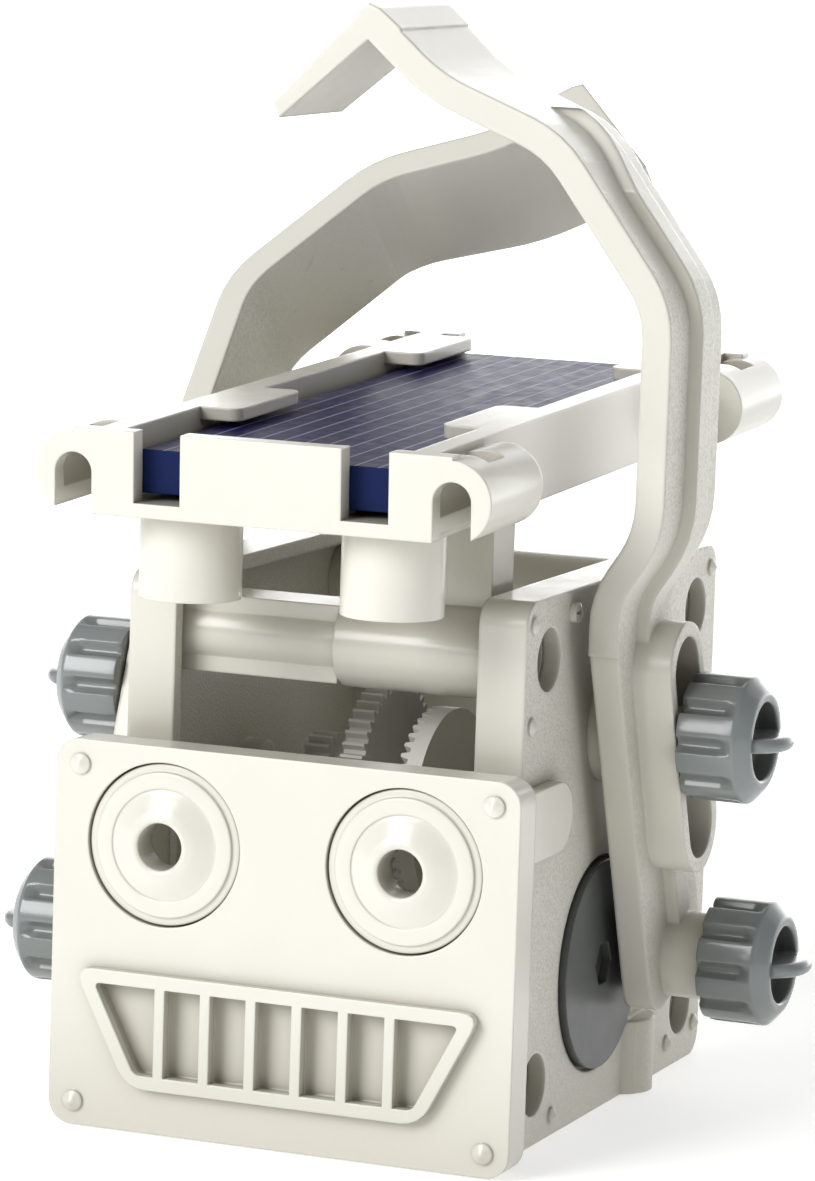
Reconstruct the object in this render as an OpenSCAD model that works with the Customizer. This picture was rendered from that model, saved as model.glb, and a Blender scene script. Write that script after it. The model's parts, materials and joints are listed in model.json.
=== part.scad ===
// Solar robot kit: a geared body with a face plate, a solar panel on its roof and two crank-driven arms.
// Millimetres, +Z up, the face looks towards -Y and the drive axle lies along X.
// Origin: on the ground, in the middle of the kit's whole length and width.
// The sizes below are measured from the drive axle along Y; placed() moves each piece to the origin.

/* [Body] */
// Length of the body along Y
body_length = 68; // [60:0.5:76]
// Height of the body
body_height = 67.6; // [60:0.1:76]
// Width of the body over both shells
body_width = 52.2; // [46:0.2:60]
// Distance of the body's front from the drive axle
body_front = 28.5; // [24:0.5:34]
// Width of each shell's rim, seen from the front
rim_width = 6.2; // [4:0.1:9]
// Wall thickness of the shells
shell_wall = 2.4; // [1.8:0.1:3]
// Radius of the four round holes in each shell
side_hole_r = 3.9; // [3:0.1:4.4]
// Radius of the cross tubes
cross_tube_r = 4.6; // [4:0.1:6]

/* [Face] */
// Width of the face plate
face_width = 60.6; // [54:0.2:68]
// Height of the face plate
face_height = 47.8; // [40:0.2:56]
// Thickness of the face plate
face_thickness = 5; // [3:0.5:7]
// Distance of the face from the drive axle
face_front = 39.5; // [36:0.5:46]
// Distance of each eye's centre from the middle
eye_offset = 15.7; // [13:0.1:18]
// Height of the eyes
eye_height = 36; // [32:0.5:38]
// Outer radius of an eye
eye_r = 9.9; // [8:0.1:11]
// Number of upright bars in the mouth
mouth_bars = 6; // [4:1:9]

/* [Drive] */
// Height of the drive axle
axle_height = 19; // [17:0.5:22]
// Width across flats of the six-sided drive axle
axle_flats = 5; // [4:0.1:6]
// Radius of the crank discs
disc_r = 13.2; // [12:0.1:15]
// Distance from the drive axle to a crank pin
crank_r = 11; // [8:0.1:11]
// Height of the arm pivot above the drive axle
pivot_rise = 30; // [26:0.5:34]
// Gear module
gear_module = 0.5; // [0.4:0.05:0.6]
// Teeth on the crown gear
crown_teeth = 50; // [40:2:56]
// Teeth on the spur gear
spur_teeth = 48; // [40:2:56]
// Teeth on the output gear
output_teeth = 64; // [56:2:66]
// Teeth on the motor pinion and on the crown gear's pinion
small_pinion_teeth = 10; // [8:1:12]
// Teeth on the spur gear's pinion
large_pinion_teeth = 18; // [14:1:20]

/* [Arms] */
// Thickness of an arm
arm_thickness = 3.7; // [3:0.1:5]
// Half the width of an arm's slotted blade
arm_half_width = 9.5; // [8:0.1:11]
// Angle between the slotted blade and the upper arm
arm_bend = 20; // [0:1:30]
// Half the inner width of the slot
slot_half_width = 4.1; // [3.8:0.1:4.5]
// Height of the raised ring around the slot
slot_ring_height = 5; // [3:0.5:6]
// Outer radius of a knob
knob_r = 7.9; // [7:0.1:7.9]
// Number of grips on a knob
knob_grips = 10; // [8:1:14]

/* [Panel] */
// Length of the panel frame
frame_length = 104.5; // [96:0.5:112]
// Distance of the panel frame's front from the drive axle
frame_front = 49.2; // [46:0.2:52]
// Height of the panel frame's underside
frame_base = 76.9; // [74:0.1:80]
// Height of the panel frame's walls
frame_height = 10.2; // [8:0.1:12]
// Distance of each hook barrel from the middle
barrel_offset = 24.2; // [22:0.1:26]
// Width of the solar panel
panel_width = 33; // [28:0.5:35]
// Thickness of the solar panel
panel_thickness = 5.2; // [3:0.1:5.6]
// Slope of the panel frame, which rises towards the back
frame_tilt = 2.3; // [0:0.1:3]
// Distance of each front socket tube from the middle
socket_offset = 13.1; // [11:0.1:15]

/* [Hidden] */

ivory = [0.95, 0.94, 0.9];
white = [0.96, 0.96, 0.95];
grey = [0.48, 0.52, 0.52];
dark_grey = [0.36, 0.38, 0.38];
steel = [0.7, 0.7, 0.72];
panel_blue = [0.09, 0.1, 0.32];

eps = 0.01;         // overlap that keeps joined solids in one piece
cut = 0.5;          // overshoot of a cutter past a face
run_gap = 0.06;     // radial clearance of a shaft in its bearing
face_gap = 0.15;    // clearance between faces that slide past each other

// Body
shell_outer = body_width / 2;
shell_inner = shell_outer - shell_wall;
rim_inner = shell_outer - rim_width;
rim_wall = 2;
back_top = 50;
body_rear = body_length - body_front;
body_mid = (body_rear - body_front) / 2;
body_corner_r = 3;
hole_inset = 7.6;
hole_spread_y = body_length / 2 - hole_inset;
hole_spread_z = body_height / 2 - hole_inset;
peg_r = 1.1;
peg_inset = 2.2;
peg_front_y = peg_inset - body_front;
peg_rear_y = body_rear - peg_inset;
peg_places = [[peg_front_y, 64.8], [peg_front_y, 52.5], [-14.7, 2.6], [27, 3.4],
    [peg_rear_y, 64.7], [peg_rear_y, 41.3], [peg_rear_y, 4.2]];
peg_foot = 0.6;     // how deep a peg starts inside its wall
peg_edge = 0.3;     // height of a shell's peg at its edge and at its middle
peg_top = 0.9;
screw_r = 1.2;
screw_height = 0.9;
screw_y = -13.6;
screw_z = 64.9;
screw_slot = 0.4;
screw_slot_half = 0.8;
bottom_boss_r = 5;
bottom_socket_r = 3;
bottom_socket_depth = 7;
bottom_boss_x = 23.6;
bottom_boss_y = 14.5;
bottom_boss_height = 9.5;
bearing_r = 3;
bearing_length = 2.6;
tube_front_y = body_mid - hole_spread_y;
tube_rear_y = body_mid + hole_spread_y;
tube_top_z = body_height / 2 + hole_spread_z;
tube_bottom_z = body_height / 2 - hole_spread_z;
ledge_half = cross_tube_r * 0.8;
ledge_out = cross_tube_r + 0.2;
ledge_in = cross_tube_r - 1.8;

// Face
face_corner_r = 3;
face_back = face_front - face_thickness;
face_bottom = 0.2;
face_peg_x = 27;
face_peg_low = 3.2;
face_peg_high = 45;
face_peg_r = 1.3;
eye_sink = 3;       // how deep an eye sits in the face
eye_fit = 0.2;      // gap around an eye
clip_thickness = 1.8;
clip_height = 8.7;
clip_z = 40.7;
clip_reach = 15.5;
pupil_r = 2.9;
mouth_top = 20.2;
mouth_bottom = 5.9;
mouth_top_half = 26.7;
mouth_bottom_half = 19.3;
mouth_rim = 1.7;
mouth_corner = 2.6;
mouth_bar = 1.3;
mouth_raise = 1.4;
mouth_recess = 1.2;
mouth_recess_inset = 1.5;

// Drive train
axle_corner_r = axle_flats / 2 / cos(30);
journal_r = axle_corner_r + run_gap;
disc_thickness = 1.9;
disc_recess = 1.2;
disc_recess_gap = 0.5;
disc_in = shell_outer - disc_recess + face_gap;
disc_out = disc_in + disc_thickness;
axle_end = disc_out - 1.2;
pin_clear = 0.2;    // gap between a crank disc and the pin that the arm carries
pin_collar_r = 5;
axle_bearing_r = axle_corner_r + 2;
shaft_r = 1;
shaft_seat = 0.8;   // how far a shaft's bearing hole goes into the shell's wall
shaft_end = shell_inner - 0.3;
spur_y = 3;
spur_z = axle_height + sqrt(pow((output_teeth + large_pinion_teeth) * gear_module / 2, 2) - spur_y * spur_y);
crown_gap = (spur_teeth + small_pinion_teeth) * gear_module / 2;
crown_drop = 0.7;
crown_z = spur_z - crown_drop;
crown_y = spur_y - sqrt(crown_gap * crown_gap - crown_drop * crown_drop);
spur_x = -6;
spur_face = 3;
spur_hub_r = 2.6;
crown_hub_r = 2;
pinion_over = 0.5;  // how far a hub's pinion reaches past the gear it drives
output_x = -14;
output_hub_over = 1.5;
output_hub_wall = 1.6;
output_face = 2.4;
crown_disc_x = 8.5;
crown_disc = 2;
crown_tooth_height = 1.1;
crown_rim = 2.5;
crown_r = crown_teeth * gear_module / 2;
crown_outer_r = crown_r + 0.2;
pinion_r = small_pinion_teeth * gear_module / 2;
crown_notch_floor = 0.3;    // half widths of the gap between two crown teeth
crown_notch_top = 0.62;
motor_x = crown_disc_x - crown_tooth_height - pinion_r + 0.2;
pinion_face = 3;
pinion_z = crown_z - crown_r + crown_rim / 2;
motor_top = pinion_z - pinion_face / 2 - 0.8;
motor_bottom = tube_bottom_z + cross_tube_r + 0.5;
motor_r = 7.5;
motor_neck_r = 2.4;
motor_neck = 1;
motor_shaft_r = 0.75;
motor_shaft_low = motor_bottom + 1.2;
cradle_wall = 1.6;
cradle_height = 4;
cradle_half = 3;
tooth_shrink = 0.16;
addendum = 0.85;    // tooth heights above and below the pitch circle, in modules
dedendum = 1.15;
tooth_root = 0.36;  // half a tooth's width at its root and at its tip, as parts of the tooth pitch
tooth_tip = 0.12;

// Arms
pivot_z = axle_height + pivot_rise;
arm_lean = atan(crank_r / pivot_rise);
pin_distance = norm([crank_r, pivot_rise]);
blade_in = 28.8;
blade_out = blade_in + arm_thickness;
ring_out = blade_out + slot_ring_height;
knob_in = ring_out + 0.3;
knob_out = knob_in + 9.2;
pin_r = 3.4;
flange_r = 7;
pin_end = knob_in + 4.5;
boss_r = 5.5;
slot_low = pivot_rise - crank_r - pin_distance;
slot_high = pivot_rise + crank_r - pin_distance;
ring_wall = 1.8;
arm_foot = pin_distance + 4.6;
bend_s = 18;
upper_front = -8.5;
upper_rear = 10;
upper_top_rear = 15;
widen_from = 52;
widen_to = 74;
rib_height = 1.6;
rib_low = -1.6;
rib_high = 2.6;
rib_taper_from = 50;
rib_tip_s = 59.5;
corner_back = 4;    // how far each bend of the arm is rounded back along its sides
corner_steps = 4;
blade_corner_r = 4;

// Directions from the spur gear's centre to its neighbours, as angles in the YZ plane
to_crown = atan2(crown_z - spur_z, crown_y - spur_y);
to_axle = atan2(axle_height - spur_z, -spur_y);

// The upper arm's centre line and its hook seen from the front: place sideways and height above the bend
upper_foot = -6;
upper_corners = [[0, upper_foot], [0, 1], [5.3, 9], [5.4, 36.6], [-8.7, 55.6]];
upper_line = rounded(concat(upper_corners, [[-24.5, 61.8], [-32.2, 68.6]]), corner_back);
rib_line = rounded(concat(upper_corners, [[-17, 58.9]]), corner_back);
hook_line = [[-31.9, 70.9], [-33.4, 71.5], [-45.6, 58.7], [-44.8, 57], [-32.8, 67.5],
    [-29.5, 64.6], [-29, 68.6]];

// The left arm leans back and reaches furthest to the rear, the sloping frame's top edge to the front
arm_top = hook_line[1][1];
arm_top_w = upper_rear + (upper_top_rear - upper_rear) * (arm_top - widen_from) / (widen_to - widen_from);
kit_rear = bend_s * sin(arm_lean) + arm_top * sin(arm_lean + arm_bend) + arm_top_w * cos(arm_lean + arm_bend);
kit_front = frame_front + frame_height * sin(frame_tilt);
kit_mid = (kit_rear - kit_front) / 2;

// Panel
frame_top = frame_base + frame_height;
frame_rear = frame_length - frame_front;
frame_mid = (frame_rear - frame_front) / 2;
frame_wall = 2.5;
frame_floor = 1.7;
rail_in = 18.4;
rail_out = 21.6;
barrel_r = 4.9;
barrel_length = 16.5;
barrel_z = frame_base + barrel_r;
barrel_bore_r = 3.3;
barrel_end = 2;     // wall at the closed end of a hook barrel
hook_half = 2.4;
notch_from = 5;     // the notch in the top of a hook barrel, measured from the frame's end
notch_to = 10;
centre_block_half = 10.3;
corner_block_in = 16.3;
lip_in = 13.2;
lip_thickness = 1.6;
lip_length = 19;
lip_starts = [-26, 32];
lip_corner_r = 1.5;
bearer_half = 9.5;
bearer_width = 4;
socket_r = 6.2;
socket_bore_r = 4.25;
socket_y = -39.5;
socket_bottom = 66.6;
socket_depth = 8.5;
panel_base = frame_base + 2.6;
panel_clear = 0.4;
riser_width = 10.4;
riser_depth = 7;
riser_front_from = 8;
riser_rear_from = -13.5;
sleeve_r = cross_tube_r + 0.9;
sleeve_front_from = 0;
sleeve_rear_from = -14;

// Moves a piece from the drive axle to the kit's origin.
module placed() {
    translate([0, -kit_mid, 0]) children();
}

// Tilts a level piece to the panel frame's slope, about the frame's front lower edge.
module frame_tilted() {
    translate([0, -frame_front, frame_base]) rotate([frame_tilt, 0, 0])
        translate([0, frame_front, -frame_base]) children();
}

// A shape repeated on both sides of the X=0 plane.
module both_sides() {
    children();
    mirror([1, 0, 0]) children();
}

// A cylinder along X from x0 to x1.
module x_cylinder(x0, x1, r, facets = 64) {
    translate([x0, 0, 0]) rotate([0, 90, 0]) cylinder(h = x1 - x0, r = r, $fn = facets);
}

// A cylinder along Y from y0 to y1.
module y_cylinder(y0, y1, r, facets = 48) {
    translate([0, y0, 0]) rotate([-90, 0, 0]) cylinder(h = y1 - y0, r = r, $fn = facets);
}

// A box between two corners.
module box(low, high) {
    translate(low) cube(high - low);
}

// A rectangle with rounded corners, its low corner at the origin.
module round_rectangle(size, r) {
    translate([r, 0]) square([size[0] - 2 * r, size[1]]);
    translate([0, r]) square([size[0], size[1] - 2 * r]);
    for (x = [r, size[0] - r], y = [r, size[1] - r])
        translate([x, y]) circle(r = r, $fn = 48);
}

// Extrudes a drawing of the YZ plane from x0 to x1.
module extrude_x(x0, x1) {
    translate([x0, 0, 0]) rotate([90, 0, 90]) linear_extrude(x1 - x0) children();
}

// The body's outline seen from the side, drawn inwards by the given inset.
module body_outline(inset) {
    translate([inset - body_front, inset])
        round_rectangle([body_length - 2 * inset, body_height - 2 * inset], max(body_corner_r - inset, 0.5));
}

// The four places of the cross tubes.
module at_cross_tubes() {
    for (y = [tube_front_y, tube_rear_y], z = [tube_bottom_z, tube_top_z])
        translate([0, y, z]) children();
}

// The places of the two gear shafts.
module at_gear_shafts() {
    for (p = [[crown_y, crown_z], [spur_y, spur_z]])
        translate([0, p[0], p[1]]) children();
}

// Domed pegs on the outer face of a shell.
module shell_pegs() {
    for (p = peg_places)
        translate([shell_outer, p[0], p[1]]) rotate([0, 90, 0]) rotate_extrude($fn = 24)
            polygon([[0, -peg_foot], [peg_r, -peg_foot], [peg_r, peg_edge], [0, peg_top]]);
}

// One half of the body, open towards the middle, with its bearings.
module side_shell() {
    difference() {
        union() {
            difference() {
                extrude_x(rim_inner, shell_outer) body_outline(0);
                extrude_x(rim_inner - cut, shell_inner) body_outline(rim_wall);
            }
            at_gear_shafts() x_cylinder(shell_inner - bearing_length, shell_inner + eps, bearing_r);
            translate([0, 0, axle_height])
                x_cylinder(shell_inner - bearing_length, shell_inner + eps, axle_bearing_r);
            translate([bottom_boss_x, bottom_boss_y, 0])
                cylinder(h = bottom_boss_height, r = bottom_boss_r, $fn = 48);
            shell_pegs();
        }
        at_cross_tubes() x_cylinder(shell_inner - cut, shell_outer + cut, side_hole_r);
        translate([0, 0, axle_height]) {
            x_cylinder(rim_inner - cut, shell_outer + cut, journal_r);
            x_cylinder(shell_outer - disc_recess, shell_outer + cut, disc_r + disc_recess_gap, 96);
        }
        at_gear_shafts() x_cylinder(rim_inner - cut, shell_inner + shaft_seat, shaft_r + run_gap);
        translate([bottom_boss_x, bottom_boss_y, -cut])
            cylinder(h = bottom_socket_depth + cut, r = bottom_socket_r, $fn = 48);
    }
}

module left_side_shell() {
    color(ivory) placed() mirror([1, 0, 0]) side_shell();
}

module right_side_shell() {
    color(ivory) placed() side_shell();
}

// Upright wall that closes the body at the back, between the rims.
module back_plate() {
    color(ivory) placed()
        box([-rim_inner, body_rear - rim_wall, rim_wall], [rim_inner, body_rear, back_top]);
}

// Four hollow tubes that tie the two shells together.
module cross_tubes() {
    color(ivory) placed() difference() {
        union() {
            at_cross_tubes() x_cylinder(-shell_inner, shell_inner, cross_tube_r);
            translate([0, tube_front_y, tube_top_z]) tube_ledges();
        }
        at_cross_tubes() x_cylinder(-shell_inner - cut, shell_inner + cut, side_hole_r);
    }
}

// Two ledges along the bare part of the front top tube, above and below its middle.
module tube_ledges() {
    box([-shell_inner, -ledge_half, ledge_in], [sleeve_front_from, ledge_half, ledge_out]);
    box([-shell_inner, -ledge_half, -ledge_out], [sleeve_front_from, ledge_half, -ledge_in]);
}

// Face plate with its four front pegs and a clip on each side.
module face_plate() {
    color(ivory) placed() difference() {
        union() {
            translate([-face_width / 2, -face_back, face_bottom])
                rotate([90, 0, 0]) linear_extrude(face_thickness)
                    round_rectangle([face_width, face_height], face_corner_r);
            for (x = [-face_peg_x, face_peg_x], z = [face_peg_low, face_peg_high])
                translate([x, -face_front, z]) rotate([90, 0, 0])
                    rotate_extrude($fn = 24)
                        polygon([[0, -1], [face_peg_r, -1], [face_peg_r, 0.3], [0, 1]]);
            both_sides() face_clip();
        }
        for (side = [-1, 1])
            translate([side * eye_offset, 0, eye_height]) {
                y_cylinder(-face_front - cut, -face_front + eye_sink, eye_r + eye_fit, 96);
                y_cylinder(-face_front, -face_back + cut, pupil_r + 1);
            }
        translate([0, -face_front + mouth_recess, 0]) rotate([90, 0, 0])
            linear_extrude(mouth_recess + cut) mouth_outline(mouth_recess_inset);
    }
}

// Tongue of the face plate that grips the outside of a shell.
module face_clip() {
    end_y = -clip_reach - clip_height / 2;
    extrude_x(shell_outer, shell_outer + clip_thickness) {
        translate([-face_back - 1, clip_z - clip_height / 2]) square([end_y + face_back + 1, clip_height]);
        translate([end_y, clip_z]) circle(r = clip_height / 2, $fn = 48);
    }
}

// The mouth's outline, drawn inwards by the given inset.
module mouth_outline(inset) {
    slant = (mouth_top_half - mouth_bottom_half) / (mouth_top - mouth_bottom);
    side_inset = inset * sqrt(1 + slant * slant);
    low_half = mouth_bottom_half + slant * inset - side_inset;
    high_half = mouth_top_half - slant * inset - side_inset;
    corners = [[-low_half, mouth_bottom + inset], [low_half, mouth_bottom + inset],
        [high_half, mouth_top - inset], [-high_half, mouth_top - inset]];
    polygon(rounded_loop(corners, max(mouth_corner - inset, 0.8)));
}

// Raised frame of the mouth with its upright bars.
module mouth_grille() {
    bar_pitch = 2 * mouth_bottom_half / (mouth_bars + 0.4);
    color(ivory) placed() translate([0, -face_front, 0]) rotate([90, 0, 0]) linear_extrude(mouth_raise) {
        difference() {
            mouth_outline(0);
            mouth_outline(mouth_rim);
        }
        for (i = [0:mouth_bars - 1])
            translate([(i - (mouth_bars - 1) / 2) * bar_pitch - mouth_bar / 2, mouth_bottom + mouth_rim / 2])
                square([mouth_bar, mouth_top - mouth_bottom - mouth_rim]);
    }
}

// One eye: a groove around it, a flat ring and a dome with the pupil hole right through.
module eye() {
    groove_depth = 0.8;
    rim_r = eye_r - 1;
    dome_r = eye_r * 0.69;
    dome_rise = 1.5;
    dome_top = eye_sink + dome_rise;
    profile = [[pupil_r, 0], [eye_r, 0], [eye_r, eye_sink - groove_depth], [rim_r, eye_sink - groove_depth],
        [rim_r, eye_sink], [dome_r, eye_sink + 0.1], [dome_r, eye_sink - 0.5], [dome_r - 1, eye_sink + 0.3],
        [pupil_r + 1.5, dome_top - 0.3], [pupil_r + 0.5, dome_top], [pupil_r, dome_top - 0.2]];
    color(ivory) translate([0, -face_front + eye_sink, eye_height]) rotate([90, 0, 0])
        rotate_extrude($fn = 96) polygon(profile);
}

module left_eye() {
    placed() translate([-eye_offset, 0, 0]) eye();
}

module right_eye() {
    placed() translate([eye_offset, 0, 0]) eye();
}

// Sleeve around a top cross tube with a riser that carries the sloping panel frame.
module bracket(y, sleeve_from, riser_from) {
    difference() {
        union() {
            translate([0, y, tube_top_z]) x_cylinder(sleeve_from, rim_inner, sleeve_r);
            box([riser_from, y, tube_top_z], [riser_from + riser_width, y + riser_depth, frame_top]);
        }
        translate([0, y, tube_top_z]) x_cylinder(sleeve_from - cut, rim_inner + cut, cross_tube_r);
        frame_tilted() box([-rail_out, -frame_front, frame_base], [rail_out, frame_rear, frame_top + cut]);
    }
}

module panel_bracket() {
    color(ivory) placed() bracket(tube_front_y, sleeve_front_from, riser_front_from);
}

module rear_panel_bracket() {
    color(ivory) placed() bracket(tube_rear_y, sleeve_rear_from, riser_rear_from);
}

// One hook barrel at the front right corner of the frame, with its slot, bore and top notch.
module hook_barrel_solid() {
    translate([barrel_offset, 0, barrel_z])
        y_cylinder(-frame_front, -frame_front + barrel_length, barrel_r, 64);
    box([rail_in, -frame_front, frame_base], [barrel_offset, -frame_front + frame_wall, frame_top]);
}

module hook_barrel_cuts() {
    start = -frame_front - cut;
    bore_end = -frame_front + barrel_length - barrel_end;
    translate([barrel_offset, 0, barrel_z]) {
        y_cylinder(start, bore_end, hook_half, 32);
        y_cylinder(-frame_front + frame_wall, bore_end, barrel_bore_r, 48);
    }
    box([barrel_offset - hook_half, start, frame_base - cut],
        [barrel_offset + hook_half, bore_end, barrel_z]);
    box([barrel_offset - hook_half, -frame_front + notch_from, barrel_z + hook_half / 2],
        [barrel_offset + hook_half, -frame_front + notch_to, frame_top + cut]);
}

// The frame's plan features repeated at the front and at the rear.
module both_ends() {
    children();
    translate([0, 2 * frame_mid, 0]) mirror([0, 1, 0]) children();
}

// End wall of the frame: a low sill with a block at each corner.
module end_wall() {
    wall_back = -frame_front + frame_wall;
    box([-rail_out, -frame_front, frame_base], [rail_out, wall_back, frame_base + frame_floor]);
    both_sides() box([corner_block_in, -frame_front, frame_base], [rail_out, wall_back, frame_top]);
}

// The block in the middle of the front end wall.
module centre_block() {
    box([-centre_block_half, -frame_front, frame_base],
        [centre_block_half, -frame_front + frame_wall, frame_top]);
}

// Lips that hold the panel down, two on each rail.
module panel_lips() {
    for (y = lip_starts)
        translate([lip_in, y, frame_top - lip_thickness]) linear_extrude(lip_thickness)
            round_rectangle([rail_in + 2 - lip_in, lip_length], lip_corner_r);
}

// The frame's floor, with bearers across it that the panel rests on.
module frame_floor_plate() {
    box([-rail_in - 1, -frame_front + 1, frame_base],
        [rail_in + 1, frame_rear - 1, frame_base + frame_floor]);
    for (y = [frame_wall - frame_front, frame_mid - bearer_width / 2, frame_rear - frame_wall - bearer_width])
        box([-bearer_half, y, frame_base], [bearer_half, y + bearer_width, panel_base]);
}

// Frame around the solar panel, with four hook barrels and two socket tubes.
module panel_frame() {
    color(ivory) placed() difference() {
        union() {
            frame_tilted() {
                both_sides() {
                    box([rail_in, -frame_front, frame_base], [rail_out, frame_rear, frame_top]);
                    both_ends() hook_barrel_solid();
                    panel_lips();
                }
                both_ends() end_wall();
                centre_block();
                frame_floor_plate();
            }
            both_sides() translate([socket_offset, socket_y, socket_bottom])
                cylinder(h = frame_base + frame_floor / 2 - socket_bottom, r = socket_r, $fn = 64);
        }
        frame_tilted() both_sides() both_ends() hook_barrel_cuts();
        both_sides() translate([socket_offset, socket_y, socket_bottom - cut])
            cylinder(h = socket_depth + cut, r = socket_bore_r, $fn = 64);
    }
}

// The solar panel: a flat block of cells that lies under the frame's lips.
module solar_panel() {
    color(panel_blue) placed() frame_tilted()
        box([-panel_width / 2, -frame_front + frame_wall + panel_clear, panel_base],
            [panel_width / 2, frame_rear - frame_wall - panel_clear, panel_base + panel_thickness]);
}

// The screws beside the front top tube, one in each shell.
module shell_screws() {
    color(ivory) placed() both_sides() translate([shell_outer, screw_y, screw_z]) difference() {
        x_cylinder(0, screw_height, screw_r, 24);
        for (turn = [0, 90])
            rotate([turn, 0, 0])
                box([screw_height / 2, -screw_slot / 2, -screw_slot_half],
                    [screw_height + cut, screw_slot / 2, screw_slot_half]);
    }
}

// Ring around the motor, held on the inside of the right shell.
module motor_cradle() {
    color(ivory) placed() difference() {
        union() {
            translate([motor_x, crown_y, motor_bottom])
                cylinder(h = cradle_height, r = motor_r + cradle_wall, $fn = 64);
            box([motor_x, crown_y - cradle_half, motor_bottom],
                [shell_inner, crown_y + cradle_half, motor_bottom + cradle_height]);
        }
        translate([motor_x, crown_y, motor_bottom - cut])
            cylinder(h = cradle_height + 2 * cut, r = motor_r, $fn = 64);
    }
}

// The motor's can, with the neck its shaft leaves through.
module motor_can() {
    color(steel) placed() translate([motor_x, crown_y, 0]) difference() {
        union() {
            translate([0, 0, motor_bottom])
                cylinder(h = motor_top - motor_neck - motor_bottom, r = motor_r, $fn = 64);
            translate([0, 0, motor_bottom])
                cylinder(h = motor_top - motor_bottom, r = motor_neck_r, $fn = 48);
        }
        translate([0, 0, motor_shaft_low - face_gap])
            cylinder(h = motor_top, r = motor_shaft_r + run_gap, $fn = 32);
    }
}

// Outline of a gear with straight-flanked teeth; the first tooth points along +X.
module gear_outline(teeth) {
    pitch_r = teeth * gear_module / 2;
    root_r = pitch_r - dedendum * gear_module;
    tip_r = pitch_r + addendum * gear_module;
    pitch_angle = 360 / teeth;
    backlash = tooth_shrink / 2 / pitch_r * 180 / PI;
    root_half = pitch_angle * tooth_root - backlash;
    mid_half = pitch_angle / 4 - backlash;
    tip_half = pitch_angle * tooth_tip;
    polygon([for (i = [0:teeth - 1], p = [[root_r, -root_half], [pitch_r, -mid_half], [tip_r, -tip_half],
        [tip_r, tip_half], [pitch_r, mid_half], [root_r, root_half]])
        p[0] * [cos(i * pitch_angle + p[1]), sin(i * pitch_angle + p[1])]]);
}

// A spur gear on the X axis, turned so that a tooth points at the given angle in the YZ plane.
module x_gear(teeth, x0, x1, angle) {
    extrude_x(x0, x1) rotate(angle) gear_outline(teeth);
}

// The motor's pinion on its shaft, in mesh with the bottom of the crown gear.
module motor_pinion() {
    color(white) placed() translate([motor_x, crown_y, 0]) {
        translate([0, 0, pinion_z - pinion_face / 2]) linear_extrude(pinion_face)
            rotate(180 / small_pinion_teeth) gear_outline(small_pinion_teeth);
        translate([0, 0, motor_shaft_low])
            cylinder(h = pinion_z - motor_shaft_low, r = motor_shaft_r, $fn = 32);
    }
}

// Crown gear with its small pinion, both on one hub.
module crown_gear() {
    color(white) placed() translate([0, crown_y, crown_z]) difference() {
        union() {
            x_cylinder(crown_disc_x, crown_disc_x + crown_disc, crown_outer_r, 96);
            difference() {
                x_cylinder(crown_disc_x - crown_tooth_height, crown_disc_x + eps, crown_outer_r, 96);
                x_cylinder(crown_disc_x - crown_tooth_height - cut, crown_disc_x + cut,
                    crown_r - crown_rim, 96);
                for (i = [0:crown_teeth - 1])
                    rotate([(i + 0.5) * 360 / crown_teeth, 0, 0]) crown_notch();
            }
            x_cylinder(spur_x - pinion_over, crown_disc_x + eps, crown_hub_r, 48);
            x_gear(small_pinion_teeth, spur_x - pinion_over, spur_x + spur_face + pinion_over,
                to_crown + 180 + 180 / small_pinion_teeth);
        }
        x_cylinder(spur_x - 2, crown_disc_x + 4, shaft_r, 32);
    }
}

// The gap between two teeth of the crown gear, cut across its rim.
module crown_notch() {
    floor_x = crown_disc_x - 0.05;
    top_x = crown_disc_x - crown_tooth_height - 0.2;
    translate([0, 0, crown_r - crown_rim - cut]) linear_extrude(crown_rim + 3 * cut)
        polygon([[floor_x, -crown_notch_floor], [floor_x, crown_notch_floor],
            [top_x, crown_notch_top], [top_x, -crown_notch_top]]);
}

// Steel shaft between the bearings of the two shells.
module crown_shaft() {
    color(steel) placed() translate([0, crown_y, crown_z]) x_cylinder(-shaft_end, shaft_end, shaft_r, 32);
}

// Spur gear with the pinion that drives the output gear, both on one hub.
module spur_gear() {
    color(white) placed() translate([0, spur_y, spur_z]) difference() {
        union() {
            x_gear(spur_teeth, spur_x, spur_x + spur_face, to_crown);
            x_cylinder(output_x, spur_x + eps, spur_hub_r, 48);
            x_gear(large_pinion_teeth, output_x - pinion_over, output_x + output_face + pinion_over,
                to_axle + 180 / large_pinion_teeth);
        }
        x_cylinder(output_x - 2, spur_x + 6, shaft_r, 32);
    }
}

module spur_shaft() {
    color(steel) placed() translate([0, spur_y, spur_z]) x_cylinder(-shaft_end, shaft_end, shaft_r, 32);
}

// Output gear on the drive axle.
module output_gear() {
    color(white) placed() translate([0, 0, axle_height]) difference() {
        union() {
            x_gear(output_teeth, output_x, output_x + output_face, to_axle + 180);
            x_cylinder(output_x - output_hub_over, output_x + output_face + output_hub_over,
                axle_corner_r + output_hub_wall, 48);
        }
        extrude_x(output_x - 3, output_x + output_face + 3) axle_outline();
    }
}

// The six-sided section of the drive axle.
module axle_outline() {
    circle(r = axle_corner_r, $fn = 6);
}

module drive_axle() {
    color(dark_grey) placed() translate([0, 0, axle_height]) extrude_x(-axle_end, axle_end) axle_outline();
}

// Crank disc that sits in the shell's round recess.
module crank_disc() {
    color(dark_grey) translate([0, 0, axle_height]) difference() {
        x_cylinder(disc_in, disc_out, disc_r, 96);
        extrude_x(disc_in - cut, disc_out + cut) axle_outline();
    }
}

module left_crank_disc() {
    placed() mirror([1, 0, 0]) crank_disc();
}

module right_crank_disc() {
    placed() crank_disc();
}

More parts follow.
